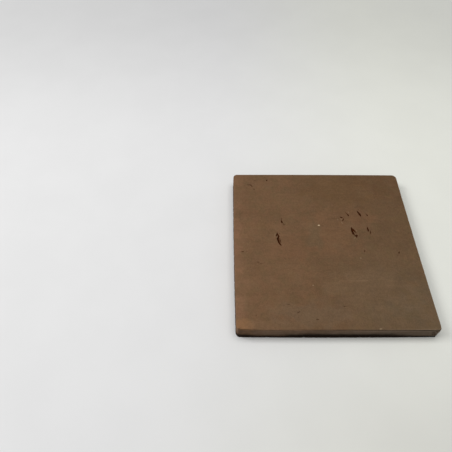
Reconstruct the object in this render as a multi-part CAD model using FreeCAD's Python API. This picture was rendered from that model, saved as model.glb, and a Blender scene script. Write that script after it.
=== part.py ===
import FreeCAD, Part

import os
from collections import namedtuple

# Terracotta floor tile: one slab of clay, pressed by hand in a frame and fired.
# Its sides bow a little, its corners and arrises are rounded, straw and air have left open pits
# in the walking face, the clay didn't quite fill the frame low down on the front side, and the
# front arris is worn down at its middle.
# Millimetres. +Z is up, +X runs to the right and +Y to the back.
# The origin is the middle of the underside.

Vector = FreeCAD.Vector

# Overall size between the corners, before they are rounded: the front side and the left side
WIDTH = 197.5
LENGTH = 199.3
THICKNESS = 18.0

# How far each side stands out at its middle; a negative bow is a hollow side
FRONT_BOW = 0.5
RIGHT_BOW = -0.4
BACK_BOW = 0.3
LEFT_BOW = 0.5

# How far the back right corner falls short of square, to the left and to the front
BACK_RIGHT_NARROW = 0.65
BACK_RIGHT_SHORT = 0.5

# Plan radius of each upright corner
FRONT_LEFT_CORNER = 5.0
FRONT_RIGHT_CORNER = 2.0
BACK_RIGHT_CORNER = 5.5
BACK_LEFT_CORNER = 4.5

# Rounding of the edge around the walking face, and bevel around the underside
TOP_ARRIS = 1.4
BASE_BEVEL = 0.6

# A gouge is a boat-shaped hollow, given by its long ends and by its width and depth at the middle.
# Its barrel-shaped cutter runs on past both ends until it has narrowed to this share of the distance
# from its axis to the face, which keeps the cutter's flat ends out of the clay.
Gouge = namedtuple("Gouge", "head tail width depth")
CUTTER_END_SHARE = 0.8

# Pits in the walking face, each given by its two ends, measured from the middle of WIDTH and LENGTH
PITS = {
    "left_split_upper": Gouge((-51.6, 12.8), (-51.2, 3.0), 2.0, 0.9),
    "left_split_lower": Gouge((-51.6, 6.8), (-48.8, -3.4), 2.4, 1.1),
    "left_nick": Gouge((-45.5, 32.8), (-45.0, 26.4), 1.8, 0.8),
    "right_split": Gouge((31.0, 21.0), (32.8, 10.6), 3.2, 1.5),
    "right_split_slope": Gouge((32.8, 18.8), (35.4, 11.8), 3.2, 0.7),
    "right_split_tail": Gouge((33.0, 9.8), (36.6, 9.1), 2.6, 1.1),
    "slant_slot": Gouge((41.6, 43.1), (44.8, 36.5), 2.4, 1.1),
    "right_slot": Gouge((48.8, 21.4), (49.3, 15.2), 2.2, 1.0),
    "right_slot_tail": Gouge((51.6, 16.2), (50.5, 11.4), 1.3, 0.5),
    "small_nick": Gouge((52.5, 38.8), (51.7, 36.1), 1.8, 0.7),
    "faint_slot": Gouge((29.8, 39.6), (31.6, 36.2), 2.0, 0.7),
    "hook_upper": Gouge((21.0, 34.8), (23.8, 34.0), 1.8, 0.7),
    "hook_lower": Gouge((24.7, 33.0), (22.8, 29.0), 1.4, 0.6),
}

# Hollow that the clay left unfilled low on the front side: its ends along the side, the heights of its
# lower and upper edge at its middle, and its depth
UNFILLED_LEFT = -56.0
UNFILLED_RIGHT = 64.0
UNFILLED_FOOT = 1.0
UNFILLED_HEAD = 9.0
UNFILLED_DEPTH = 0.9

# Worn stretch of the front arris: its ends along the side, its width if it were scooped from a flat
# face, and how far it goes in past the rounding
WORN_LEFT = -34.0
WORN_RIGHT = 57.0
WORN_WIDTH = 10.0
WORN_DEPTH = 0.9


def corner_points():
    """The four corners of the underside before rounding, counter-clockwise from the front left."""
    right, back = WIDTH / 2, LENGTH / 2
    return {
        "front_left": Vector(-right, -back, 0),
        "front_right": Vector(right, -back, 0),
        "back_right": Vector(right - BACK_RIGHT_NARROW, back - BACK_RIGHT_SHORT, 0),
        "back_left": Vector(-right, back, 0),
    }


def side_edge(start, end, bow):
    """One side of the outline, an arc that stands out by bow at its middle."""
    if bow == 0:
        return Part.LineSegment(start, end).toShape()
    along = end - start
    outward = Vector(along.y, -along.x, 0).normalize()
    middle = (start + end) / 2 + outward * bow
    return Part.Arc(start, middle, end).toShape()


def plain_slab():
    """The bowed outline raised to the tile's thickness, with its upright corners rounded."""
    corners = corner_points()
    bows = [FRONT_BOW, RIGHT_BOW, BACK_BOW, LEFT_BOW]
    radii = [FRONT_LEFT_CORNER, FRONT_RIGHT_CORNER, BACK_RIGHT_CORNER, BACK_LEFT_CORNER]
    starts = list(corners.values())
    ends = starts[1:] + starts[:1]
    outline = Part.Wire([side_edge(*ends_and_bow) for ends_and_bow in zip(starts, ends, bows)])
    slab = Part.Face(outline).extrude(Vector(0, 0, THICKNESS))
    for corner, radius in zip(starts, radii):
        middle = corner + Vector(0, 0, THICKNESS / 2)
        upright = min(slab.Edges, key=lambda edge: edge.CenterOfMass.distanceToPoint(middle))
        slab = slab.makeFillet(radius, [upright])
    return slab


def edges_at(shape, height):
    """The edges that lie wholly at one height."""
    return [
        edge for edge in shape.Edges
        if abs(edge.BoundBox.ZMin - height) < 0.01 and abs(edge.BoundBox.ZMax - height) < 0.01
    ]


def eased_slab():
    """The slab with its walking edge rounded and its underside bevelled."""
    slab = plain_slab()
    slab = slab.makeFillet(TOP_ARRIS, edges_at(slab, THICKNESS))
    return slab.makeChamfer(BASE_BEVEL, edges_at(slab, 0))


def gouge_cutter(head, tail, into, width, depth):
    """A barrel that scoops a hollow from head to tail in a face, with this width and depth at its middle.

    The barrel's own axis runs parallel to the face and outside it, so the depth is under half the width.
    into points into the clay.
    """
    length = (tail - head).Length
    barrel_radius = (width ** 2 / 4 + depth ** 2) / (2 * depth)
    bend_radius = (length ** 2 / 4 + depth ** 2) / (2 * depth)
    end_radius = CUTTER_END_SHARE * (barrel_radius - depth)
    narrowing = barrel_radius - end_radius
    half = (2 * bend_radius * narrowing - narrowing ** 2) ** 0.5
    profile = Part.Wire([
        Part.LineSegment(Vector(-half, 0, 0), Vector(-half, end_radius, 0)).toShape(),
        Part.Arc(
            Vector(-half, end_radius, 0), Vector(0, barrel_radius, 0), Vector(half, end_radius, 0)
        ).toShape(),
        Part.LineSegment(Vector(half, end_radius, 0), Vector(half, 0, 0)).toShape(),
        Part.LineSegment(Vector(half, 0, 0), Vector(-half, 0, 0)).toShape(),
    ])
    barrel = Part.Face(profile).revolve(Vector(0, 0, 0), Vector(1, 0, 0), 360)
    axis_middle = (head + tail) / 2 - into * (barrel_radius - depth)
    turn = FreeCAD.Rotation(Vector(1, 0, 0), tail - head)
    barrel.Placement = FreeCAD.Placement(axis_middle, turn)
    return barrel


def pit_cutters():
    """One cutter for each pit in the walking face."""
    cutters = []
    for pit in PITS.values():
        head, tail = (Vector(x, y, THICKNESS) for x, y in (pit.head, pit.tail))
        cutters.append(gouge_cutter(head, tail, Vector(0, 0, -1), pit.width, pit.depth))
    return cutters


def unfilled_hollow_cutter():
    """The cutter for the unfilled hollow low on the front side."""
    face, middle = -LENGTH / 2 - FRONT_BOW, (UNFILLED_FOOT + UNFILLED_HEAD) / 2
    head, tail = Vector(UNFILLED_LEFT, face, middle), Vector(UNFILLED_RIGHT, face, middle)
    return gouge_cutter(head, tail, Vector(0, 1, 0), UNFILLED_HEAD - UNFILLED_FOOT, UNFILLED_DEPTH)


def worn_arris_cutter():
    """The cutter for the worn stretch, set at 45 degrees on the rounding of the front arris."""
    inset = TOP_ARRIS * (1 - 0.5 ** 0.5)
    face, top = -LENGTH / 2 - FRONT_BOW + inset, THICKNESS - inset
    head, tail = Vector(WORN_LEFT, face, top), Vector(WORN_RIGHT, face, top)
    return gouge_cutter(head, tail, Vector(0, 1, -1).normalize(), WORN_WIDTH, WORN_DEPTH)


def finished_tile():
    """The whole tile, moved so that the origin is the middle of its underside."""
    tile = eased_slab().cut(pit_cutters() + [unfilled_hollow_cutter(), worn_arris_cutter()])
    tile = tile.Solids[0]
    box = tile.optimalBoundingBox(False, False)
    tile.translate(Vector(-box.Center.x, -box.Center.y, -box.ZMin))
    return tile


def main():
    os.makedirs("parts", exist_ok=True)
    tile = finished_tile()
    tile.exportStep("parts/tile.step")
    box = tile.optimalBoundingBox(False, False)
    print(f"tile {box.XLength:.2f} x {box.YLength:.2f} x {box.ZLength:.2f} mm")
    print(f"volume {tile.Volume / 1000:.1f} cm3, {len(tile.Faces)} faces, valid {tile.isValid()}")


main()
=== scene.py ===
# %% [markdown]
# # A handmade terracotta floor tile
# The object is one slab of clay. It was pressed by hand into a wooden frame, struck level, wiped with
# wet hands, dried and fired. Nothing on it is straight or even, and that is what makes it look real.
#
# Blender could get there by sculpting, by booleans or by a displacement texture. Here every bump is
# worked out in code and moved into real vertices, because then the shape is the same on each run, it
# can be measured, and it goes along when the mesh is exported.
#
# The first step loads the CAD solid as a fixed frame: metres, +Z up, and the origin in the middle of
# the underside. The new mesh has to stay inside the box that is kept here.

# %% Load the frame
import math
from collections import namedtuple

import bmesh
import bpy
import numpy as np
from mathutils import Matrix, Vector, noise


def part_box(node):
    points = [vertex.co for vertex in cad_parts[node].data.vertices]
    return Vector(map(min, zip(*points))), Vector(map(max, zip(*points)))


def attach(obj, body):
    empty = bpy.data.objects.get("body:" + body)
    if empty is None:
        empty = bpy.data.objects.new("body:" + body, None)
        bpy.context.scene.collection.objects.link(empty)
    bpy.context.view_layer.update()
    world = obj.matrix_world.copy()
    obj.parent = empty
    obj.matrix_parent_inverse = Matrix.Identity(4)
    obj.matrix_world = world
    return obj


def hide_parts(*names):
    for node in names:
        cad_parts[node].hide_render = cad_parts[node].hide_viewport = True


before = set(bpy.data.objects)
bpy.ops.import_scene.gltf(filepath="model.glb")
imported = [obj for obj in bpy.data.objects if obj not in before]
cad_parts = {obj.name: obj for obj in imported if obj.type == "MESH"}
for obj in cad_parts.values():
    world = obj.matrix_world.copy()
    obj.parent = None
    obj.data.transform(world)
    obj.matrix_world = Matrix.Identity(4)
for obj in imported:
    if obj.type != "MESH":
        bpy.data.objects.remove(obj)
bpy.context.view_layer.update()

MM = 0.001
low, high = (np.array(corner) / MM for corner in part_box("tile"))
THICKNESS = high[2]
print("CAD tile in mm, from", low.round(2), "to", high.round(2))

# %% [markdown]
# ## The outline
# Seen from above, the tile is a square that the frame and the drying have pulled about: the left, front
# and back sides stand out a little, the right side is hollow, the back right corner falls short and
# each corner has its own rounding.
#
# A hand-drawn curve could follow this by eye. A formula is used instead, because each point on the
# outline also needs to know which way is outward: later, the edges and sides are made by moving along
# that direction. Points lie closer together near the corners, where the outline turns.

# %% Outline of the tile
FRONT_BOW, RIGHT_BOW, BACK_BOW, LEFT_BOW = 0.5, -0.4, 0.3, 0.5
BACK_RIGHT_NARROW, BACK_RIGHT_SHORT = 0.65, 0.5
BACK_BOW_RISE = 0.1
CORNER_RADII = [5.0, 2.0, 5.5, 4.5]
CELLS_PER_SIDE = 160
CORNER_CROWDING = 0.5

left, right = low[0] + LEFT_BOW, high[0]
front, back = low[1] + FRONT_BOW, high[1] - BACK_BOW_RISE
CORNERS = np.array([
    (left, front),
    (right, front),
    (right - BACK_RIGHT_NARROW, back - BACK_RIGHT_SHORT),
    (left, back),
])
steps = np.linspace(0, 1, CELLS_PER_SIDE + 1)
SHARES = steps - CORNER_CROWDING * np.sin(2 * math.pi * steps) / (2 * math.pi)


def side_run(k, bow):
    """Points and outward directions along side k, from the middle of one corner to the next."""
    start, end = CORNERS[k], CORNERS[(k + 1) % 4]
    first, last = CORNER_RADII[k], CORNER_RADII[(k + 1) % 4]
    length = np.linalg.norm(end - start)
    along = (end - start) / length
    out = np.array([along[1], -along[0]])
    straight = length - first - last
    run = SHARES * (straight + (first + last) * math.pi / 4) - first * math.pi / 4
    before = np.minimum(run, 0) / first
    after = np.maximum(run - straight, 0) / last
    turn = before + after
    outward = np.outer(np.cos(turn), out) + np.outer(np.sin(turn), along)
    radius = np.where(turn < 0, first, last)
    level = np.clip(run, 0, straight)
    swell = bow * (1 - (2 * level / straight - 1) ** 2)
    rounding = radius[:, None] * (outward - out)
    points = start + np.outer(first + level, along) + np.outer(swell, out) + rounding
    return points, outward


sides = [side_run(k, bow) for k, bow in enumerate([FRONT_BOW, RIGHT_BOW, BACK_BOW, LEFT_BOW])]
outline = np.concatenate([points[:-1] for points, outward in sides])
outward = np.concatenate([outward[:-1] for points, outward in sides])
print("outline of", len(outline), "points, spans", np.ptp(outline, axis=0).round(2), "mm")

# %% [markdown]
# ## A net of quads
# The slab could be a cube with bevels, but its flat top would then be one huge face with nothing to
# push in or out. A voxel remesh would give even faces, but they would run across the edges. So the net
# is laid out: a square grid is stretched between the four sides for the walking face, rings of
# quads run down the rounded edge, the side and the eased foot, and a second grid closes the underside.
#
# Each ring is the outline moved inward by some inset, at some height. Each vertex also notes how much
# it belongs to the top, to a side, to the underside and to the rounded edge, or arris, between them.

# %% Rings from the walking face to the underside
ARRIS = 1.4
FOOT_EASE = 0.15
ARRIS_STEPS = 6
SIDE_STEPS = 18
SIDE_CROWDING = 1.35
FOOT_STEPS = 3

Ring = namedtuple("Ring", "inset height top side under arris")


def arris_rings():
    """Rings down the quarter round between the walking face and the sides."""
    made = []
    for angle in np.linspace(0, math.pi / 2, ARRIS_STEPS + 1):
        inset = ARRIS * (1 - math.sin(angle))
        height = THICKNESS - ARRIS * (1 - math.cos(angle))
        top, side = math.cos(angle) ** 2, math.sin(angle) ** 2
        made.append(Ring(inset, height, top, side, 0, math.sin(2 * angle)))
    return made


def side_rings():
    """Rings down the upright side, closest together under the arris."""
    shares = np.linspace(0, 1, SIDE_STEPS + 1)[1:] ** SIDE_CROWDING
    heights = (THICKNESS - ARRIS) * (1 - shares) + FOOT_EASE * shares
    return [Ring(0, height, 0, 1, 0, 0) for height in heights]


def foot_rings():
    """Rings round the eased lower edge."""
    made = []
    for angle in np.linspace(0, math.pi / 2, FOOT_STEPS + 1)[1:]:
        inset = FOOT_EASE * (1 - math.cos(angle))
        height = FOOT_EASE * (1 - math.sin(angle))
        made.append(Ring(inset, height, 0, math.cos(angle) ** 2, math.sin(angle) ** 2, 0))
    return made


rings = arris_rings() + side_rings() + foot_rings()
print(len(rings), "rings of", len(outline), "points")

# %% Grid stretched between four sides


def stretched_grid(loop):
    """A square grid of points whose rim is the loop: each point is pulled by all four sides."""
    n = CELLS_PER_SIDE
    loop = np.concatenate([loop, loop[:1]])
    front, right = loop[:n + 1], loop[n:2 * n + 1]
    back, left = loop[2 * n:3 * n + 1][::-1], loop[3 * n:][::-1]
    u, v = SHARES[None, :, None], SHARES[:, None, None]
    across = (1 - v) * front[None] + v * back[None]
    along = (1 - u) * left[:, None] + u * right[:, None]
    bottom = (1 - u) * front[0] + u * front[-1]
    top = (1 - u) * back[0] + u * back[-1]
    return across + along - (1 - v) * bottom - v * top


def grid_numbers(first):
    """Vertex numbers of a grid, row by row from the front."""
    n = CELLS_PER_SIDE + 1
    return first + np.arange(n * n).reshape(n, n)


def rim_numbers(first):
    """Vertex numbers round the rim of a grid, in the outline's order."""
    grid = grid_numbers(first)
    return np.concatenate([grid[0, :-1], grid[:-1, -1], grid[-1, :0:-1], grid[:0:-1, 0]])


def grid_quads(first):
    """The quads of a grid, wound to face up."""
    grid = grid_numbers(first)
    return np.stack([grid[:-1, :-1], grid[:-1, 1:], grid[1:, 1:], grid[1:, :-1]], -1).reshape(-1, 4)


def band_quads(upper, lower):
    """The quads of a band between two loops, wound to face out."""
    return np.stack([upper, lower, np.roll(lower, -1), np.roll(upper, -1)], -1)


print("grids of", CELLS_PER_SIDE, "by", CELLS_PER_SIDE, "quads")

# %% Put the net together
NOTES = ("top", "side", "under", "arris", "out_x", "out_y")


def keep_note(name, values):
    """Store one value for each vertex under a name."""
    mesh.attributes.new(name, "FLOAT", "POINT").data.foreach_set("value", values.astype(np.float32))


def net_of_quads():
    """Vertices, quads and notes of the whole closed net."""
    top_ring, between, under_ring = rings[0], rings[1:-1], rings[-1]
    places, quads, notes, rims = [], [], [], []
    count = 0
    for ring in (top_ring, *between, under_ring):
        loop = outline - outward * ring.inset
        share = [ring.top, ring.side, ring.under, ring.arris]
        if ring in between:
            flat, directions = loop, outward
            rims.append(count + np.arange(len(loop)))
        else:
            flat = stretched_grid(loop).reshape(-1, 2)
            directions = stretched_grid(outward).reshape(-1, 2)
            rims.append(rim_numbers(count))
            faces = grid_quads(count)
            quads.append(faces if ring is top_ring else faces[:, ::-1])
        places.append(np.column_stack([flat, np.full(len(flat), ring.height)]))
        notes.append(np.column_stack([np.tile(share, (len(flat), 1)), directions]))
        count += len(flat)
    quads += [band_quads(upper, lower) for upper, lower in zip(rims, rims[1:])]
    return np.concatenate(places), np.concatenate(quads), np.concatenate(notes)


places, quads, notes = net_of_quads()
mesh = bpy.data.meshes.new("fired_clay_tile")
mesh.from_pydata(places.tolist(), [], quads.tolist())
for name, values in zip(NOTES, notes.T):
    keep_note(name, values)
print("net of", len(places), "points and", len(quads), "quads")

# %% [markdown]
# ## Marks in the clay
# Bits of straw burn out in the kiln, trapped air tears the skin when the clay is struck off, and grit
# drags under the striking stick. They leave long torn pits, short nicks and pinholes. Where the skin
# tore, pale bits of it are left standing, and a few grains of lime show at the surface.
#
# The pits are where the CAD solid has them. Booleans could cut them, but a cut has a knife edge.
# Pushing vertices down gives the soft torn rim that clay has. Each mark is a chain of dabs, as if
# pressed with a round stick: how far right, how far back, the dab's width and its depth, all in
# millimetres from the middle of the tile. Between two dabs, the width and the depth change evenly. The
# sides have a few nicks too, and those also need a height.

# %% Where the clay is torn open
Dab = namedtuple("Dab", "right back width depth")

SPLITS = {
    "left split": [
        (-50.9, 12.2, 1.3, 0.8), (-50.0, 8.8, 1.9, 1.2), (-51.2, 5.5, 2.6, 1.6), (-50.4, 2.2, 2.3, 1.4),
        (-49.9, -0.1, 2.0, 1.2), (-48.8, -2.0, 1.8, 0.8), (-47.6, -3.1, 1.3, 0.35),
    ],
    "left split, branch": [(-51.1, 13.4, 1.2, 0.6), (-51.6, 11.2, 2.0, 1.0), (-52.4, 9.1, 1.3, 0.6)],
    "left split, slope": [(-49.2, 6.0, 1.6, 0.4), (-48.7, 3.2, 2.4, 0.55), (-48.3, 0.5, 1.8, 0.4)],
    "left nick": [(-45.1, 33.8, 1.1, 0.4), (-45.3, 30.1, 1.3, 0.55), (-44.9, 28.0, 2.5, 1.0)],
    "left nick, tail": [(-44.2, 26.4, 1.1, 0.4), (-42.6, 24.5, 2.1, 0.5), (-41.4, 24.6, 1.3, 0.3)],
    "right split": [
        (31.5, 21.2, 0.9, 0.5), (31.8, 18.4, 2.6, 1.6), (31.9, 15.3, 2.5, 2.0), (32.3, 12.4, 2.5, 1.6),
        (33.4, 11.1, 1.3, 0.6),
    ],
    "right split, slope": [
        (32.8, 18.6, 2.2, 0.9), (33.9, 16.5, 2.8, 0.8), (35.0, 14.6, 2.4, 0.55), (35.9, 13.0, 1.6, 0.3),
    ],
    "right split, hole": [(33.8, 9.6, 1.6, 0.8), (35.2, 9.7, 2.5, 1.2), (36.6, 9.6, 1.6, 0.8)],
    "right split, hole upright": [(35.8, 11.2, 1.1, 0.5), (35.2, 9.6, 2.0, 1.1), (35.2, 7.7, 1.3, 0.7)],
    "slant slot": [
        (41.8, 43.6, 1.1, 0.5), (42.9, 41.8, 2.0, 1.3), (43.7, 39.9, 2.4, 1.6), (44.6, 37.7, 2.1, 1.3),
        (44.8, 36.6, 1.5, 0.7),
    ],
    "right slot": [
        (49.4, 21.5, 1.0, 0.5), (49.5, 19.7, 1.9, 0.9), (49.5, 17.8, 2.2, 1.1), (49.6, 15.8, 1.4, 0.7),
    ],
    "right slot, tail": [(51.9, 16.3, 1.0, 0.45), (51.7, 14.0, 1.4, 0.65), (51.0, 12.0, 1.2, 0.45)],
    "small nick": [(51.0, 39.9, 1.3, 0.35), (52.3, 38.8, 1.6, 0.6), (52.4, 37.6, 2.0, 0.85)],
    "faint slot": [
        (28.3, 41.9, 1.4, 0.4), (29.7, 39.9, 1.4, 0.5), (31.0, 38.0, 2.2, 0.9), (31.2, 36.9, 1.5, 0.6),
    ],
    "hook": [(21.2, 35.3, 1.3, 0.5), (22.4, 34.6, 2.1, 0.85), (23.8, 34.3, 1.5, 0.6)],
    "hook, ring": [
        (24.9, 33.2, 1.2, 0.5), (24.6, 31.8, 1.5, 0.6), (23.6, 30.4, 1.5, 0.6), (22.4, 29.5, 1.1, 0.35),
    ],
}
print(len(SPLITS), "tears in the walking face")

# %% Nicks, smudges and pale bits
NICKS = {
    "back left dot": [(-58.2, 90.6, 1.5, 0.75), (-58.4, 89.6, 1.9, 0.85)],
    "back left specks": [(-61.1, 94.3, 1.3, 0.35), (-60.8, 93.9, 1.2, 0.35)],
    "back left smudge": [(-73.4, 90.2, 2.2, 0.35), (-71.8, 89.8, 1.8, 0.3)],
    "back left arc": [(-82.0, 83.3, 1.3, 0.3), (-78.0, 83.1, 1.8, 0.5), (-76.2, 80.6, 1.7, 0.45)],
    "back left spot": [(-74.2, 76.9, 1.8, 0.45), (-73.9, 75.5, 1.7, 0.4)],
    "left dash": [(-91.0, -11.0, 1.4, 0.55), (-89.2, -10.9, 1.5, 0.6)],
    "left dash, end": [(-86.4, -11.1, 1.0, 0.3), (-85.0, -10.8, 1.0, 0.3)],
    "left pair": [(-74.4, -24.2, 2.1, 0.36), (-73.4, -24.6, 2.0, 0.36)],
    "left pair, tail": [(-71.9, -25.8, 1.3, 0.36), (-70.0, -26.1, 1.4, 0.36)],
    "front left dot": [(-78.4, -84.2, 1.6, 0.28), (-78.6, -85.2, 1.5, 0.25)],
    "front left dash": [(-46.8, -72.8, 1.2, 0.3), (-45.2, -72.9, 1.2, 0.28)],
    "front left nick": [(-37.8, -81.7, 1.6, 0.4), (-36.9, -81.2, 1.4, 0.35), (-35.7, -80.3, 1.4, 0.3)],
    "front left nick, tail": [(-36.9, -84.6, 0.9, 0.15), (-38.2, -88.4, 1.1, 0.2)],
    "front dash": [(-20.4, -88.7, 1.4, 0.38), (-18.4, -88.6, 1.4, 0.38)],
    "front hole": [(8.6, -75.1, 1.8, 0.45), (9.6, -75.0, 1.3, 0.32), (11.6, -75.2, 0.9, 0.15)],
    "front smudge": [(25.0, -86.8, 2.0, 0.2), (26.2, -86.9, 1.8, 0.2)],
    "right nick": [(77.6, -11.0, 1.3, 0.5), (77.2, -12.2, 1.7, 0.65), (76.8, -13.2, 1.3, 0.5)],
    "right specks": [(75.1, -15.6, 1.2, 0.3), (74.8, -16.1, 1.2, 0.3)],
    "right smudge": [(40.7, -9.4, 2.1, 0.5), (40.6, -11.0, 1.8, 0.45)],
    "middle smudge": [(-60.2, 13.2, 2.2, 0.25), (-59.6, 12.6, 2.2, 0.25)],
    "split speck": [(-48.9, 12.8, 1.2, 0.4), (-48.9, 12.2, 1.2, 0.4)],
    "hole speck": [(38.5, 9.9, 1.0, 0.35), (38.6, 9.3, 1.0, 0.35)],
    "slot specks": [(43.4, 46.0, 1.0, 0.35), (44.0, 45.2, 1.0, 0.35)],
}
PALE_BITS = {
    "lime grain": [(-4.6, 23.6, 1.9, 1.0), (-3.8, 23.6, 1.9, 1.0)],
    "dim lime grain": [(-19.6, -51.6, 1.3, 0.3), (-19.2, -51.6, 1.3, 0.3)],
    "right lime grain": [(34.6, -19.0, 1.9, 0.14), (35.0, -19.6, 1.7, 0.12)],
    "chip on the front arris": [(39.4, -98.5, 1.6, 0.3), (40.6, -98.3, 1.6, 0.3)],
    "torn skin in the hook": [(21.9, 32.4, 1.8, 0.1), (21.9, 31.4, 1.8, 0.1)],
    "torn skin below the hook": [(21.8, 28.6, 1.6, 0.1), (22.3, 26.2, 1.6, 0.1)],
    "torn skin left of the hook": [(17.6, 32.2, 2.0, 0.08), (17.9, 31.0, 2.0, 0.08)],
    "torn skin at the faint slot": [(31.6, 42.4, 1.7, 0.1), (31.8, 41.2, 1.8, 0.12)],
    "torn skin below the right split": [(33.4, 7.4, 1.6, 0.1), (32.0, 5.4, 1.5, 0.08)],
    "torn skin right of the right split": [(36.6, 16.8, 1.6, 0.1), (36.4, 15.8, 1.6, 0.1)],
    "torn skin left of the left split": [(-53.6, 12.4, 1.5, 0.08), (-54.6, 8.6, 1.5, 0.08)],
}


def chains_of(*groups):
    """All the chains of some groups, as lists of dabs."""
    return [[Dab(*numbers) for numbers in chain] for group in groups for chain in group.values()]


print(len(NICKS), "nicks and", len(PALE_BITS), "pale bits on the walking face")

# %% Nicks in the sides
SideNick = namedtuple("SideNick", "right back up width depth")
SIDE_NICKS = [
    SideNick(94.2, -99.5, 7.4, 4.0, 1.2), SideNick(92.2, -99.5, 12.0, 3.0, 0.8),
    SideNick(95.2, -99.5, 13.8, 2.2, 0.6), SideNick(-70.2, -99.7, 12.0, 2.0, 0.3),
    SideNick(98.4, -62.0, 11.5, 3.2, 0.7), SideNick(98.3, -58.6, 10.4, 2.0, 0.4),
    SideNick(98.2, 24.0, 7.5, 2.4, 0.5), SideNick(98.0, 71.0, 13.0, 2.0, 0.4),
    SideNick(44.0, 99.6, 11.0, 3.2, 0.7), SideNick(-20.0, 99.8, 7.0, 2.4, 0.5),
    SideNick(-23.5, 99.8, 8.6, 1.9, 0.4), SideNick(-77.0, 99.7, 12.5, 2.2, 0.4),
    SideNick(-98.8, 52.0, 9.0, 3.0, 0.7), SideNick(-98.9, -8.0, 12.5, 2.0, 0.4),
    SideNick(-98.8, -47.0, 7.0, 2.6, 0.5), SideNick(-98.8, -50.5, 8.2, 1.9, 0.4),
]
print(len(SIDE_NICKS), "nicks in the sides")

# %% [markdown]
# ## Smaller faces at the marks
# A pit is only two millimetres wide, so it needs faces of a third of a millimetre. Making the whole net
# that fine would give millions of faces, and a Subdivision modifier works on all of it. The bmesh
# module can cut chosen edges only, so just the faces at a mark are cut up.

# %% Finer faces at the marks
REFINE_MARGIN = 1.2
REFINE_CUTS = 5
FACING_UP = 0.9
NICK_FLATNESS = 1.6

Link = namedtuple("Link", "gap width depth")


def link_to(flat, first, second):
    """How points lie to the link between two dabs: the gap to it, and its width and depth there."""
    start, end = np.array(first[:2]), np.array(second[:2])
    along = end - start
    share = np.clip((flat - start) @ along / (along @ along), 0, 1)
    gap = np.linalg.norm(flat - start - np.outer(share, along), axis=1)
    width = first.width + share * (second.width - first.width)
    depth = first.depth + share * (second.depth - first.depth)
    return Link(gap, width, depth)


def gap_to_nick(points, nick):
    """How far points are from the middle of a nick, which is drawn out along the side."""
    return np.linalg.norm((points - np.array(nick[:3])) * (1, 1, NICK_FLATNESS), axis=1)


def near_marks(points, on_top, chains):
    """Which points lie at one of the marks: on the walking face the chains, on a side the nicks."""
    near = np.zeros(len(points), bool)
    for chain in chains:
        for first, second in zip(chain, chain[1:]):
            link = link_to(points[:, :2], first, second)
            near |= on_top & (link.gap < link.width / 2 + REFINE_MARGIN)
    for nick in SIDE_NICKS:
        near |= ~on_top & (gap_to_nick(points, nick) < nick.width / 2 + REFINE_MARGIN)
    return near


def refine_at(mesh, chains):
    """Cut the faces that lie at the marks into smaller ones."""
    bm = bmesh.new()
    bm.from_mesh(mesh)
    faces = list(bm.faces)
    middles = np.array([face.calc_center_median() for face in faces])
    on_top = np.array([face.normal.z > FACING_UP for face in faces])
    near = near_marks(middles, on_top, chains)
    edges = {edge for face, wanted in zip(faces, near) if wanted for edge in face.edges}
    ordered = sorted(edges, key=lambda edge: edge.index)
    bmesh.ops.subdivide_edges(
        bm, edges=ordered, cuts=REFINE_CUTS, use_grid_fill=True, use_single_edge=True,
    )
    bm.to_mesh(mesh)
    bm.free()
    return int(near.sum())


refined = refine_at(mesh, chains_of(SPLITS, NICKS, PALE_BITS))
print("refined", refined, "quads; now", len(mesh.vertices), "points and", len(mesh.polygons), "faces")

# %% [markdown]
# ## Relief of the walking face
# A wet hand leaves the top nearly flat: it sways by a few tenths of a millimetre, it is streaked along
# the strokes of the hand, and it falls away slightly towards the edges.
#
# Blender's Displace modifier with a texture could do the swaying, but each part of the relief here is
# a noise of its own size and direction, so plain functions of the point are easier to read. All of
# them only take clay away, so the tile never grows out of its box.

# %% Noise in millimetres
OCTAVE_FADE, OCTAVE_STEP = 1.0, 2.0


def lumps(points, size, octaves=1):
    """Smooth noise from about -1 to 1, in lumps of this size, which may differ along X, Y and Z."""
    scaled = (points / np.array(size)).tolist()
    return np.array([noise.fractal(point, OCTAVE_FADE, OCTAVE_STEP, octaves) for point in scaled])


def dips(points, size, octaves=1):
    """The same noise from about 0 to 1, for clay that is only ever taken away."""
    return 0.5 + 0.5 * lumps(points, size, octaves)


def fade(value, low_end, high_end):
    """A soft step from 0 at low_end to 1 at high_end."""
    t = np.clip((value - low_end) / (high_end - low_end), 0, 1)
    return t * t * (3 - 2 * t)


def read_notes(mesh):
    """Vertex positions and the notes made on them."""
    places = np.empty(3 * len(mesh.vertices), np.float32)
    mesh.vertices.foreach_get("co", places)
    notes = {}
    for name in NOTES:
        notes[name] = np.empty(len(mesh.vertices), np.float32)
        mesh.attributes[name].data.foreach_get("value", notes[name])
    return places.reshape(-1, 3).astype(float), notes


places, notes = read_notes(mesh)
edge_distance = np.minimum.reduce([
    places[:, 0] - low[0], high[0] - places[:, 0], places[:, 1] - low[1], high[1] - places[:, 1],
])
on_top = notes["top"] > 0.5
print("points of the walking face:", int(on_top.sum()))

# %% Sway, strokes and the marks
SWAY, SWAY_SIZE = 0.18, 75.0
STROKE, STROKE_SIZE = 0.06, (70.0, 5.0, 50.0)
DIMPLE, DIMPLE_SIZE = 0.04, 9.0
PILLOW, PILLOW_WIDTH = 0.28, 6.0
RAGGED, RAGGED_SIZE = 0.35, 1.3
RIM_START, RIM_END, RIM_REACH = 0.3, 1.15, 2.2


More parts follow.
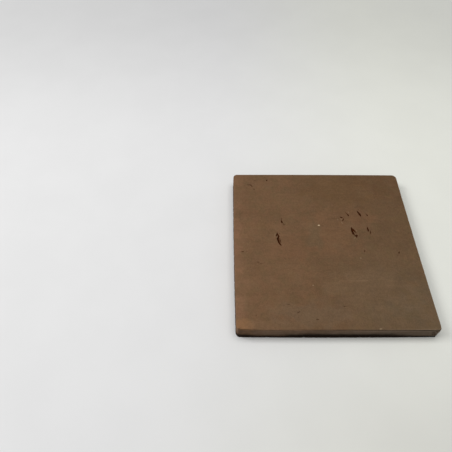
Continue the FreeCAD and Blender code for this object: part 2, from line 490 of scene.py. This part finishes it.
def sunk(points, chains):
    """How deep chains of dabs go at each point."""
    deepest = np.zeros(len(points))
    for chain in chains:
        for first, second in zip(chain, chain[1:]):
            link = link_to(points[:, :2], first, second)
            reach = 2 * link.gap / link.width
            near = np.flatnonzero(reach < RIM_REACH)
            reach = reach[near] + RAGGED * lumps(points[near], RAGGED_SIZE, 2)
            depth = link.depth[near] * (1 - fade(reach, RIM_START, RIM_END))
            deepest[near] = np.maximum(deepest[near], depth)
    return deepest


def walking_face_relief(points):
    """How far each point of the walking face is pushed down, leaving out the marks."""
    sway = SWAY * dips(points, SWAY_SIZE)
    stroke = STROKE * dips(points, STROKE_SIZE, 2)
    dimple = DIMPLE * dips(points, DIMPLE_SIZE, 2)
    pillow = PILLOW * np.exp(-(edge_distance / PILLOW_WIDTH) ** 2)
    return np.clip(sway + stroke + dimple, 0, None) + pillow


pit_depth = sunk(places, chains_of(SPLITS, NICKS))
paleness = sunk(places, chains_of(PALE_BITS))
drop = walking_face_relief(places) + pit_depth
least_drop, most_drop = drop[on_top].min().round(3), drop[on_top].max().round(2)
print("walking face pushed down by", least_drop, "to", most_drop, "mm")

# %% [markdown]
# ## Relief of the sides and the underside
# The sides took the print of the frame: they are lumpy and drawn with faint lines along its boards, with
# a crease under the arris where the struck-off skin was folded over. Low down in the middle of the front
# side the clay never filled the frame and left a long hollow, but it filled the front right corner well.
# The underside lay on sand, and only its rim touches the floor.
#
# These are the same kind of noise as above, but they push each point in, against its outward direction,
# instead of down. Three-dimensional noise is used, so it carries on round the corners without a seam.

# %% Relief of the sides
SIDE_LUMPS, SIDE_LUMP_SIZE = 0.18, 19.0
SIDE_GRAIN, SIDE_GRAIN_SIZE = 0.12, 4.5
DRAG, DRAG_SIZE = 0.12, (30.0, 30.0, 1.6)
NICK_RAGGED = 0.6
CREASE = 0.2
FOOT_LIP = 2.5
FOOT_RAGGED, FOOT_RAGGED_SIZE, FOOT_RAGGED_FROM = 0.5, 5.0, 0.1
HOLLOW_MIDDLE, HOLLOW_HALF, HOLLOW_DEPTH = 4.0, 60.0, 0.65
HOLLOW_FOOT, HOLLOW_HEAD = 1.0, 9.0
FULL_CORNER_SIZE = 12.0


def hump(value, middle, half):
    """A hump that is 1 at its middle and 0 from its ends on."""
    return np.clip(1 - ((value - middle) / half) ** 2, 0, 1)


def corner_gap(points):
    """How far points are from the front right corner, seen from above."""
    return np.linalg.norm(points[:, :2] - CORNERS[1], axis=1)


def side_relief(points, facing_front, crease):
    """How far each point of the sides is pushed in, leaving out the nicks."""
    height = points[:, 2]
    lump = SIDE_LUMPS * dips(points, SIDE_LUMP_SIZE)
    fine = SIDE_GRAIN * dips(points, SIDE_GRAIN_SIZE, 3)
    drag = DRAG * dips(points, DRAG_SIZE, 2)
    above_lip = fade(height, 0, FOOT_LIP)
    bites = np.clip(lumps(points, FOOT_RAGGED_SIZE, 2) - FOOT_RAGGED_FROM, 0, 1)
    ragged = FOOT_RAGGED * bites * (1 - above_lip)
    hollow = hump(points[:, 0], HOLLOW_MIDDLE, HOLLOW_HALF) * facing_front
    hollow *= hump(height, (HOLLOW_FOOT + HOLLOW_HEAD) / 2, (HOLLOW_HEAD - HOLLOW_FOOT) / 2)
    full_corner = np.exp(-(corner_gap(points) / FULL_CORNER_SIZE) ** 2)
    uneven = np.clip(lump + fine + drag, 0, None) * above_lip * (1 - full_corner)
    return uneven + CREASE * crease + ragged + HOLLOW_DEPTH * hollow


def nicked(points):
    """How deep the nicks in the sides go at each point."""
    deepest = np.zeros(len(points))
    for nick in SIDE_NICKS:
        reach = 2 * gap_to_nick(points, nick) / nick.width
        near = np.flatnonzero(reach < RIM_REACH)
        reach = reach[near] + NICK_RAGGED * lumps(points[near], RAGGED_SIZE, 2)
        deepest[near] = np.maximum(deepest[near], nick.depth * (1 - fade(reach, RIM_START, RIM_END)))
    return deepest


nick_depth = nicked(places) * notes["side"]
print("nicks in the sides up to", nick_depth.max().round(2), "mm deep")

# %% Push in the sides and lift the underside
FRONT_START, FRONT_FULL = 0.6, 0.95
FLAT_TOP = 0.999
CREASE_WIDTH = 0.6
CREASE_BELOW_TOP = [(-99, 1.0), (60, 1.0), (72, 1.3), (84, 2.0), (95, 2.4)]
CREASE_SHARE = [(-99, 0.2), (-80, 0.4), (-34, 0.5), (-12, 1.0), (60, 1.0), (78, 1.5), (99, 1.5)]
FOOT_REACH = 4.0
SAND, SAND_SIZE, SAND_INSET = 0.45, 6.0, 5.0


def from_left(table):
    """A value read off a short table of places from left to right."""
    return np.interp(places[:, 0], *zip(*table))


facing_front = fade(-notes["out_y"], FRONT_START, FRONT_FULL) * (notes["top"] < FLAT_TOP)
below_crease = THICKNESS - places[:, 2] - from_left(CREASE_BELOW_TOP)
crease = np.exp(-(below_crease / CREASE_WIDTH) ** 2) * from_left(CREASE_SHARE)
under_rim = notes["under"] * np.exp(-(edge_distance / FOOT_REACH) ** 2)
push_in = side_relief(places, facing_front, crease) * (notes["side"] + under_rim) + nick_depth
sand = np.clip(dips(places, SAND_SIZE, 3), 0, 1)
lift = SAND * sand * notes["under"] * fade(edge_distance, 0, SAND_INSET)
print("sides pushed in by up to", push_in.max().round(2), "mm")
print("underside lifted by up to", lift.max().round(2), "mm")

# %% [markdown]
# ## Wear on the front arris
# Handling has worn the front arris, most of all at its middle and its left end, and rubbed down the top
# of the front right corner. A bevel modifier could take a varying width from vertex weights. A short
# list of depths along the edge, with straight lines drawn between them, says the same in one line, and
# each point of the arris moves in and down by that depth. The corner is too tight for that, because its
# points would cross each other on the way in. All of them move the same way instead, down and towards
# the middle of the tile, and this fades out down the side, so that the foot of the corner stays sharp.

# %% Worn arris
CORNER_WORN, CORNER_WORN_SIZE, CORNER_WORN_FOOT = 0.5, 4.0, 12.0
OUT_OF_CORNER = np.array([1, -1]) / math.sqrt(2)
WORN_DEPTHS = [
    (-99, 0.7), (-86, 0.6), (-76, 0.15), (-60, 0.1), (-42, 0.35), (-26, 0.4), (12, 0.4), (30, 0.3),
    (48, 0.15), (99, 0.05),
]

worn = from_left(WORN_DEPTHS) * facing_front * notes["arris"]
near_corner = np.exp(-(corner_gap(places) / CORNER_WORN_SIZE) ** 2)
corner_worn = CORNER_WORN * near_corner * fade(places[:, 2], CORNER_WORN_FOOT, THICKNESS)
out_of_side = np.column_stack([notes["out_x"], notes["out_y"]])
moved = places.copy()
moved[:, :2] -= out_of_side * (push_in + worn)[:, None] + np.outer(corner_worn, OUT_OF_CORNER)
moved[:, 2] += lift - drop * notes["top"] - worn - corner_worn
print("front arris worn by up to", worn.max().round(2), "mm")
print("front right corner worn by up to", corner_worn.max().round(2), "mm")

# %% [markdown]
# ## Notes for the finish
# The finish needs to know more than a point's place: whether it lies in a pit, on a pale bit, on the
# arris, which is painted lighter, in the crease or on the dark foot of a side. Such notes could be
# painted by hand as vertex colours. Here they come from the same numbers that made the shape, so paint
# and relief can't drift apart. How high the dark foot reaches on the front side is a table again, and so
# is the darkening above it, which greys the left end up to the arris. The dark foot is in part painted
# shade, where the sides meet the floor. The crease gets painted shade and the lip below it a painted
# highlight, so the lip counts against the crease.

# %% Dark foot of the sides, partly painted shade
DARK_FOOT_FADE = 10.0
FOOT_LINE_LOW, FOOT_LINE_HIGH = 2.2, 4.6
DARK_FOOT_FRONT_RISE = [
    (-99, 4.6), (-88, 3.5), (-78, 0.2), (-56, 0.6), (-37, 4.0), (-26, 4.6), (-9, 3.0), (30, 2.6),
    (48, 3.4), (63, 1.0), (77, -1.4), (90, -3.0), (99, -3.0),
]
DARK_FOOT_RAGGED, DARK_FOOT_RAGGED_SIZE = 1.6, (6.0, 6.0, 3.0)
# How much the left end of the front side is painted darker, up to the arris.
FRONT_LEFT_DARKENING = [(-99, 0.55), (-93, 0.45), (-87, 0.3), (-76, 0.0)]

rise = from_left(DARK_FOOT_FRONT_RISE) * facing_front + DARK_FOOT_RAGGED * lumps(places, DARK_FOOT_RAGGED_SIZE, 3)
high_dark_foot = 1 - fade(places[:, 2] - rise, 0, DARK_FOOT_FADE)
foot_line = 1 - fade(places[:, 2], FOOT_LINE_LOW, FOOT_LINE_HIGH)
left_end_darkening = from_left(FRONT_LEFT_DARKENING) * facing_front
# The dark foot is painted, and in part it is painted shade where the sides meet the floor.
dark_foot = np.maximum.reduce([high_dark_foot, foot_line, left_end_darkening]) * (1 - notes["under"])
print("points that are more than half black:", int((dark_foot > 0.5).sum()))

# %% Store the notes on the mesh
PIT_FULL_DEPTH = 0.9
PALE_FROM_TOP, DARK_FOOT_UP_TO_TOP = 0.1, 0.8
LIP_BELOW_CREASE, LIP_WIDTH = 1.8, 0.8
LIP_SHARE = [
    (-99, 0.45), (-50, 0.45), (-40, 0.0), (-8, 0.1), (12, 1.1), (60, 1.1), (75, 0.5), (99, 0.5),
]

# The crease is painted darker as painted shade, and the lip below it is painted lighter as a painted
# highlight.
lip = np.exp(-((below_crease - LIP_BELOW_CREASE) / LIP_WIDTH) ** 2) * from_left(CREASE_SHARE)
keep_note("in_pit", np.clip((pit_depth * notes["top"] + nick_depth) / PIT_FULL_DEPTH, 0, 1))
keep_note("pale", paleness * (notes["top"] > PALE_FROM_TOP))
keep_note("foot_darkness", dark_foot * (notes["top"] < DARK_FOOT_UP_TO_TOP))
keep_note("crease", (crease - from_left(LIP_SHARE) * lip) * notes["side"])
# Painted highlight along the arris, partly lighter worn clay.
keep_note("arris_highlight_and_wear", notes["arris"] * notes["top"])
keep_note("side_face", notes["side"])
for name in NOTES:
    mesh.attributes.remove(mesh.attributes[name])
print("notes for the finish kept on", len(mesh.vertices), "points")

# %% Make the tile from the moved points
mesh.vertices.foreach_set("co", (moved * MM).astype(np.float32).ravel())
mesh.update()
mesh.shade_smooth()
tile = bpy.data.objects.new("fired_clay_tile", mesh)
bpy.context.collection.objects.link(tile)
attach(tile, "root")
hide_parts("tile")
triangles = sum(len(face.vertices) - 2 for face in mesh.polygons)
print("tile mesh of", triangles, "triangles")

# %% [markdown]
# ## Fired clay
# The clay fired to a dull greyish brown. It is lighter towards the left, with a warm flush along the
# left edge, browner at the back right, and greyer at the front right and down the sides. On top of that
# come patches, streaks along the wiping strokes, and a fine sandy grain.
#
# An image texture would be quick, but it would be tied to one picture. Noise textures in the tile's
# own coordinates give the same character at any distance. All the light and dark changes are added up
# as one number, the tone, and the colour is multiplied by it once, which keeps the tree small. The tone
# starts from a number that grows a little towards the front.

# %% Colours as they look on screen


def paint(red, green, blue):
    """A colour given as it looks on screen, from 0 to 255, taken off the sRGB curve to plain light."""
    shown = [channel / 255 for channel in (red, green, blue)]
    linear = [c / 12.92 if c <= 0.04045 else ((c + 0.055) / 1.055) ** 2.4 for c in shown]
    return (*linear, 1.0)


print("middle grey on screen is", round(paint(128, 128, 128)[0], 3), "of full light")

# %% A finish made of nodes


class Finish:
    """A material whose nodes are added one at a time; each call gives the output to use next."""

    def __init__(self, name):
        self.material = bpy.data.materials.new(name)
        self.material.use_nodes = True
        self.tree = self.material.node_tree
        self.shader = self.tree.nodes["Principled BSDF"]
        self.place = self.tree.nodes.new("ShaderNodeTexCoord").outputs["Object"]

    def feed(self, socket, value):
        """Link an output to a socket, or set a plain value on it."""
        if isinstance(value, bpy.types.NodeSocket):
            self.tree.links.new(value, socket)
        else:
            socket.default_value = value

    def note(self, name):
        """A value kept on the mesh under this name."""
        node = self.tree.nodes.new("ShaderNodeAttribute")
        node.attribute_name = name
        return node.outputs["Fac"]

    def axis(self, name):
        """One coordinate of the point, in metres."""
        node = self.tree.nodes.new("ShaderNodeSeparateXYZ")
        self.feed(node.inputs[0], self.place)
        return node.outputs[name]

    def clouds(self, size_mm, detail=2.0, stretch=(1, 1, 1), seed=0.0):
        """Noise from 0 to 1 in patches of this size; stretch makes them longer along an axis."""
        mapping = self.tree.nodes.new("ShaderNodeMapping")
        self.feed(mapping.inputs["Vector"], self.place)
        mapping.inputs["Location"].default_value = (seed, seed, seed)
        mapping.inputs["Scale"].default_value = [1 / (size_mm * MM * s) for s in stretch]
        node = self.tree.nodes.new("ShaderNodeTexNoise")
        self.feed(node.inputs["Vector"], mapping.outputs["Vector"])
        node.inputs["Scale"].default_value = 1.0
        node.inputs["Detail"].default_value = detail
        return node.outputs["Fac"]

    def spot(self, right, back, half_width, half_depth):
        """A soft round spot placed in millimetres, 1 at its middle and 0 from its rim on."""
        mapping = self.tree.nodes.new("ShaderNodeMapping")
        self.feed(mapping.inputs["Vector"], self.place)
        mapping.inputs["Location"].default_value = (-right / half_width, -back / half_depth, 0)
        mapping.inputs["Scale"].default_value = (1 / (half_width * MM), 1 / (half_depth * MM), 0)
        node = self.tree.nodes.new("ShaderNodeTexGradient")
        node.gradient_type = "SPHERICAL"
        self.feed(node.inputs["Vector"], mapping.outputs["Vector"])
        return node.outputs["Fac"]

    def work_out(self, kind, first, second):
        """Two values added, multiplied or joined by another sum."""
        node = self.tree.nodes.new("ShaderNodeMath")
        node.operation = kind
        self.feed(node.inputs[0], first)
        self.feed(node.inputs[1], second)
        return node.outputs[0]

    def span(self, value, low_end, high_end, to_low=0.0, to_high=1.0):
        """A value stretched from one span to another, and kept inside it."""
        node = self.tree.nodes.new("ShaderNodeMapRange")
        node.interpolation_type = "SMOOTHSTEP"
        self.feed(node.inputs["Value"], value)
        node.inputs["From Min"].default_value = low_end
        node.inputs["From Max"].default_value = high_end
        node.inputs["To Min"].default_value = to_low
        node.inputs["To Max"].default_value = to_high
        return node.outputs["Result"]

    def blend(self, share, first, second):
        """A colour between two others."""
        node = self.tree.nodes.new("ShaderNodeMix")
        node.data_type = "RGBA"
        sockets = {socket.identifier: socket for socket in node.inputs}
        self.feed(sockets["Factor_Float"], share)
        self.feed(sockets["A_Color"], first)
        self.feed(sockets["B_Color"], second)
        return next(socket for socket in node.outputs if socket.identifier == "Result_Color")

    def toned(self, colour, tone):
        """A colour made lighter or darker by a number."""
        node = self.tree.nodes.new("ShaderNodeVectorMath")
        node.operation = "SCALE"
        self.feed(node.inputs[0], colour)
        self.feed(node.inputs["Scale"], tone)
        return node.outputs[0]


clay = Finish("fired_clay")
print("fired clay starts from", len(clay.tree.nodes), "nodes")

# %% Colour of the clay
LEFT_CLAY, RIGHT_CLAY = paint(108, 80, 57), paint(93, 71, 50)
GREY_CLAY, BROWN_CLAY, FLUSHED_CLAY = paint(95, 79, 60), paint(93, 68, 47), paint(121, 89, 66)
EVEN_CLAY, OLIVE_CLAY = paint(101, 77, 54), paint(95, 77, 52)
DRIFT = 0.08

x, y = clay.axis("X"), clay.axis("Y")
drift = clay.work_out("ADD", x, clay.work_out("MULTIPLY", clay.clouds(60, 2.0, seed=3.0), DRIFT))
colour = clay.blend(clay.span(drift, -0.07, 0.15), LEFT_CLAY, RIGHT_CLAY)
to_right, to_left = clay.span(x, -0.02, 0.08), clay.span(x, -0.08, -0.097)
to_front, to_back = clay.span(y, 0.02, -0.09), clay.span(y, 0.03, 0.09)
grey_share = clay.work_out("MULTIPLY", to_front, to_right)
colour = clay.blend(grey_share, colour, GREY_CLAY)
brown_share = clay.work_out("MULTIPLY", to_back, to_right)
colour = clay.blend(brown_share, colour, BROWN_CLAY)
flush_share = clay.work_out("MULTIPLY", to_left, clay.span(y, 0.09, -0.08, 0.6, 1.0))
colour = clay.blend(flush_share, colour, FLUSHED_CLAY)
hue = clay.span(clay.clouds(24, 2.0, seed=11.0), 0.35, 0.65, 0.0, 0.4)
colour = clay.blend(hue, colour, EVEN_CLAY)
olive = clay.span(clay.clouds(9, 2.0, seed=25.0), 0.4, 0.65, 0.0, 0.35)
colour = clay.blend(olive, colour, OLIVE_CLAY)
print("broad colours take it to", len(clay.tree.nodes), "nodes")

# %% [markdown]
# ## Patches
# The fire and the wet hand left broad patches on the walking face, warm, brown or grey ones. They could
# be brushed onto a colour layer of the mesh. Here each patch is a soft round spot, given by its middle,
# its half size, the most that it covers and its tint, and noise makes its rim ragged.

# %% Patches from the fire and the wiping
PATCH_CLOUD, PATCH_RAGGED = 14, 0.25
PATCH_RIM, PATCH_FULL = 0.1, 0.7
GREY_SIDE = paint(88, 77, 69)
PATCHES = {
    "warm middle": ((12, 14), (48, 46), 0.5, paint(111, 81, 57)),
    "warm, left of the middle": ((-36, -6), (36, 28), 0.5, paint(111, 80, 57)),
    "warm, at the right pits": ((42, 34), (28, 20), 0.5, paint(108, 78, 55)),
    "dim smudge": ((-11, 8), (14, 24), 0.7, paint(96, 77, 55)),
    "grey wipe along the front": ((-20, -84), (62, 20), 0.7, paint(101, 81, 61)),
    "flush at the front left corner": ((-90, -94), (18, 10), 0.7, paint(131, 96, 65)),
    "light wipe, front left": ((-64, -95), (32, 9), 0.4, paint(113, 88, 65)),
    "light wipe, front right": ((35, -55), (60, 34), 0.6, paint(105, 83, 61)),
    "brown back": ((25, 78), (70, 44), 0.6, paint(98, 73, 48)),
    "light scratch": ((24.5, -46.3), (20, 1.0), 0.35, paint(120, 96, 73)),
    "dark wipe": ((13, 32.7), (9, 1.0), 0.35, paint(84, 62, 43)),
}
for middle, half_size, most, tint in PATCHES.values():
    cloud = clay.clouds(PATCH_CLOUD, 3.0, seed=middle[0])
    uneven = clay.span(cloud, 0.3, 0.7, -PATCH_RAGGED, PATCH_RAGGED)
    ragged = clay.work_out("ADD", clay.spot(*middle, *half_size), uneven)
    colour = clay.blend(clay.span(ragged, PATCH_RIM, PATCH_FULL, 0.0, most), colour, tint)
grey_side = clay.work_out("MULTIPLY", clay.note("side_face"), clay.span(x, -0.1, 0.09, 0.25, 0.55))
colour = clay.blend(grey_side, colour, GREY_SIDE)
print(len(PATCHES), "patches take it to", len(clay.tree.nodes), "nodes")

# %% Tone of the clay
BACK_TONE, FRONT_TONE = 1.035, 1.085
TONES = {
    "broad shades": (clay.clouds(42, 3.0, seed=1.0), 0.14),
    "blotches": (clay.clouds(12, 2.0, seed=5.0), 0.14),
    "coarse sand": (clay.clouds(3.0, 2.0, seed=7.0), 0.36),
    "fine sand": (clay.clouds(1.2, 1.0, seed=9.0), 0.4),
    "wiping strokes": (clay.clouds(7, 2.0, stretch=(9, 0.6, 1), seed=13.0), 0.14),
    "lines along the sides": (clay.clouds(3.5, 2.0, stretch=(7, 7, 0.4), seed=27.0), 0.35),
}
tone = clay.span(y, 0.06, -0.07, BACK_TONE, FRONT_TONE)
for cloud, amount in TONES.values():
    swing = clay.work_out("MULTIPLY", clay.work_out("SUBTRACT", cloud, 0.5), amount)
    tone = clay.work_out("ADD", tone, swing)
# The arris is painted lighter, more so to the right: in part a painted highlight on the rounded edge, in
# part worn clay.
arris_lightening = clay.span(clay.clouds(16, 2.0, seed=15.0), 0.35, 0.7, 0.05, 0.25)
arris_lightening = clay.work_out("ADD", arris_lightening, clay.span(x, 0.02, 0.09, 0.0, 0.6))
tone = clay.work_out("ADD", tone, clay.work_out("MULTIPLY", clay.note("arris_highlight_and_wear"), arris_lightening))
# Painted shade in the crease under the arris; where the lip outweighs the crease, a painted highlight.
crease_shade = clay.span(clay.clouds(14, 2.0, seed=23.0), 0.35, 0.65, 0.3, 0.6)
tone = clay.work_out("SUBTRACT", tone, clay.work_out("MULTIPLY", clay.note("crease"), crease_shade))
colour = clay.toned(colour, tone)
print(len(TONES), "kinds of light and dark take it to", len(clay.tree.nodes), "nodes")

# %% [markdown]
# ## Pits, soot and skin
# Inside the pits the clay is painted a dark reddish brown, partly as painted shade in the pits, and the
# foot of the sides is painted nearly black, partly as painted shade where the sides meet the floor.
# Both are quite dull. The skin is matt too, with a faint sheen where the wet hand smoothed it.
#
# Each of these could be a shader of its own, mixed over the clay. It is simpler to blend the colours
# first and give them to one shader, and then one bake is enough when the mesh is exported. The sand in
# the skin is too fine for the mesh, so it is only a bump in the light.

# %% Pits, pale bits and the dark foot, with painted shade
DARK_FOOT_BLACK, PIT_BROWN_AND_SHADE, LIME = paint(20, 10, 4), paint(57, 25, 2), paint(196, 172, 138)
DARK_FOOT_COVER = 0.97
PIT_RIM, PIT_INSIDE = 0.05, 0.85

in_pit, foot_darkness = clay.note("in_pit"), clay.note("foot_darkness")
# Painted shade at the foot: the sides turn nearly black where they meet the floor.
colour = clay.blend(clay.work_out("MULTIPLY", foot_darkness, DARK_FOOT_COVER), colour, DARK_FOOT_BLACK)
# Painted shade in the pits: they are painted darker than their depth alone shades them.
colour = clay.blend(clay.span(in_pit, PIT_RIM, PIT_INSIDE), colour, PIT_BROWN_AND_SHADE)
colour = clay.blend(clay.note("pale"), colour, LIME)
clay.feed(clay.shader.inputs["Base Color"], colour)
print("colour done at", len(clay.tree.nodes), "nodes")

# %% Gloss and sandy skin
SMOOTHEST, ROUGHEST = 0.68, 0.86
DULL_FROM = 0.6
SHEEN = 0.1
SAND_STRENGTH, SAND_DEPTH = 0.5, 0.12

rough = clay.span(clay.clouds(9, 3.0, seed=17.0), 0.3, 0.7, SMOOTHEST, ROUGHEST)
dull = clay.work_out("MAXIMUM", in_pit, foot_darkness)
rough = clay.work_out("MAXIMUM", rough, clay.span(dull, 0.0, DULL_FROM))
clay.feed(clay.shader.inputs["Roughness"], rough)
clay.shader.inputs["Specular IOR Level"].default_value = SHEEN

bump = clay.tree.nodes.new("ShaderNodeBump")
sandy = clay.work_out("ADD", clay.clouds(1.1, 2.0, seed=19.0), clay.clouds(0.35, 1.0, seed=21.0))
clay.feed(bump.inputs["Height"], sandy)
bump.inputs["Strength"].default_value = SAND_STRENGTH
bump.inputs["Distance"].default_value = SAND_DEPTH * MM
clay.feed(clay.shader.inputs["Normal"], bump.outputs["Normal"])
tile.data.materials.append(clay.material)
print("fired clay has", len(clay.tree.nodes), "nodes")

# %% [markdown]
# ## Floor
# The tile lies on a plain pale floor. Its paint isn't quite one colour: it turns a little yellow and
# lighter to the right, which is painted light, and duller at the back and at the front right, which is
# painted shade.
#
# From a low angle a flat floor ends in a hard horizon. A curved backdrop would hide it. Here the floor
# stays a plane, and far from the tile it shows the same plain pale light that the world shows behind
# it. Only rays that end in the eye see that light, so it adds none to the tile.

# %% Backdrop
BACKDROP_STRENGTH = 0.72
BACKDROP_NEAR, BACKDROP_FAR = 0.4, 1.3


def seen_straight(tree):
    """1 for a ray that the eye sees, also in a mirror or through glass, and 0 for any other."""
    path = tree.nodes.new("ShaderNodeLightPath")
    seen = path.outputs["Is Camera Ray"]
    for name in ("Is Glossy Ray", "Is Transmission Ray"):
        either = tree.nodes.new("ShaderNodeMath")
        either.operation = "MAXIMUM"
        tree.links.new(seen, either.inputs[0])
        tree.links.new(path.outputs[name], either.inputs[1])
        seen = either.outputs[0]
    return seen


def fade_to_backdrop(finish, near, far):
    """Let a finish turn into the backdrop's plain light between two distances from the origin."""
    distance = finish.tree.nodes.new("ShaderNodeVectorMath")
    distance.operation = "LENGTH"
    finish.feed(distance.inputs[0], finish.place)
    share = finish.span(distance.outputs["Value"], near, far)
    glow = finish.tree.nodes.new("ShaderNodeEmission")
    glow.inputs["Strength"].default_value = BACKDROP_STRENGTH
    mix = finish.tree.nodes.new("ShaderNodeMixShader")
    finish.feed(mix.inputs[0], finish.work_out("MULTIPLY", share, seen_straight(finish.tree)))
    finish.feed(mix.inputs[1], finish.shader.outputs["BSDF"])
    finish.feed(mix.inputs[2], glow.outputs["Emission"])
    finish.feed(finish.tree.nodes["Material Output"].inputs["Surface"], mix.outputs["Shader"])


print("backdrop from", BACKDROP_NEAR, "to", BACKDROP_FAR, "m away")

# %% Floor
FLOOR_SIZE = 12.0
FLOOR_LEFT, FLOOR_RIGHT = paint(227, 227, 227), paint(234, 235, 227)
FLOOR_NEAR_RIGHT_SHADE = paint(219, 219, 212)
FLOOR_FAR_SHADE = 0.82
FLOOR_ROUGHNESS = 0.9

bpy.ops.mesh.primitive_plane_add(size=FLOOR_SIZE)
floor = bpy.context.object
floor.name = "floor"
sheet = Finish("pale_floor")
across, away = sheet.axis("X"), sheet.axis("Y")
# Painted light: the floor lighter and a little yellower to the right.
pale = sheet.blend(sheet.span(across, -0.15, 0.16), FLOOR_LEFT, FLOOR_RIGHT)
# Painted shade on the floor in front of the tile, towards the right.
near_right_shade = sheet.work_out("MULTIPLY", sheet.span(away, -0.06, -0.22), sheet.span(across, -0.25, 0.1))
pale = sheet.blend(near_right_shade, pale, FLOOR_NEAR_RIGHT_SHADE)
# Painted shade: the floor darker towards the back.
pale = sheet.toned(pale, sheet.span(away, 0.12, 0.55, 1.0, FLOOR_FAR_SHADE))
pale = sheet.toned(pale, sheet.span(sheet.clouds(60, 3.0), 0.3, 0.7, 0.99, 1.01))
sheet.feed(sheet.shader.inputs["Base Color"], pale)
sheet.shader.inputs["Roughness"].default_value = FLOOR_ROUGHNESS
sheet.shader.inputs["Specular IOR Level"].default_value = SHEEN
fade_to_backdrop(sheet, BACKDROP_NEAR, BACKDROP_FAR)
floor.data.materials.append(sheet.material)
print("floor of", FLOOR_SIZE, "m")

# %% [markdown]
# ## Light
# The picture is lit softly from the upper left: the left walls of the pits are dark, their right slopes
# catch the light, and the tile throws a soft shadow to its right. A sun lamp would draw hard edges and a
# point lamp would need a shade. Area lamps are soft by themselves, so there are two, as in a small
# studio: a wide strip overhead, and a smaller softbox at the left, which draws the shadow. An even pale
# world fills it. Together they are just strong enough that a colour looks on the picture about as it is
# written.

# %% Softboxes
Softbox = namedtuple("Softbox", "place width depth tilt power")
SOFTBOXES = {
    "overhead": Softbox((-0.45, 0.14, 1.5), 2.2, 0.8, 0, 16.2),
    "left": Softbox((-1.38, 0.1, 1.42), 0.6, 0.8, -44, 9.5),
}

scene = bpy.context.scene
scene.view_settings.view_transform = "Standard"


def hang(name, softbox):
    """Hang up a soft lamp that faces down, tilted about the Y axis by an angle in degrees."""
    lamp = bpy.data.lights.new(name, "AREA")
    lamp.shape = "RECTANGLE"
    lamp.size, lamp.size_y = softbox.width, softbox.depth
    lamp.energy = softbox.power
    hung = bpy.data.objects.new(name, lamp)
    hung.location = softbox.place
    hung.rotation_euler = (0, math.radians(softbox.tilt), 0)
    scene.collection.objects.link(hung)
    print("softbox", name, "of", softbox.power, "W at", softbox.place, "m")


for name, softbox in SOFTBOXES.items():
    hang(name, softbox)

# %% Pale room
WORLD_STRENGTH = 0.3


def pale_room():
    """A world that lights the tile evenly, and that the camera sees as a pale backdrop."""
    world = bpy.data.worlds.new("pale_room")
    world.use_nodes = True
    tree = world.node_tree
    strength = tree.nodes.new("ShaderNodeMapRange")
    tree.links.new(seen_straight(tree), strength.inputs["Value"])
    strength.inputs["To Min"].default_value = WORLD_STRENGTH
    strength.inputs["To Max"].default_value = BACKDROP_STRENGTH
    background = tree.nodes["Background"]
    background.inputs["Color"].default_value = (1, 1, 1, 1)
    tree.links.new(strength.outputs["Result"], background.inputs["Strength"])
    return world


scene.world = pale_room()
print("pale room of strength", WORLD_STRENGTH)

# %% [markdown]
# ## Camera
# The picture looks down on the tile from in front and a little to the left. Aiming a camera with a
# Track To constraint would be simpler, but the real camera was also slightly rolled and the tile isn't
# in the middle of its frame, so the direction is written out as heading, pitch and roll.

# %% Camera
CAMERA_PLACE = (-111.15, -269.46, 422.44)
HEADING, PITCH, ROLL = 0.717, 54.175, -0.612
FRAME_PIXELS = 452
FOCAL_PIXELS = 450.0
SENSOR = 36.0
CLIP_START = 0.01

camera_data = bpy.data.cameras.new("camera")
camera_data.sensor_width = SENSOR
camera_data.lens = SENSOR * FOCAL_PIXELS / FRAME_PIXELS
camera_data.clip_start = CLIP_START
camera = bpy.data.objects.new("camera", camera_data)
turn = Matrix.Rotation(math.radians(-HEADING), 4, "Z")
tilt = Matrix.Rotation(math.radians(90 - PITCH), 4, "X")
bank = Matrix.Rotation(math.radians(-ROLL), 4, "Z")
camera.matrix_world = Matrix.Translation([value * MM for value in CAMERA_PLACE]) @ turn @ tilt @ bank
scene.collection.objects.link(camera)
scene.camera = camera
print("camera with a lens of", round(camera_data.lens, 2), "mm")
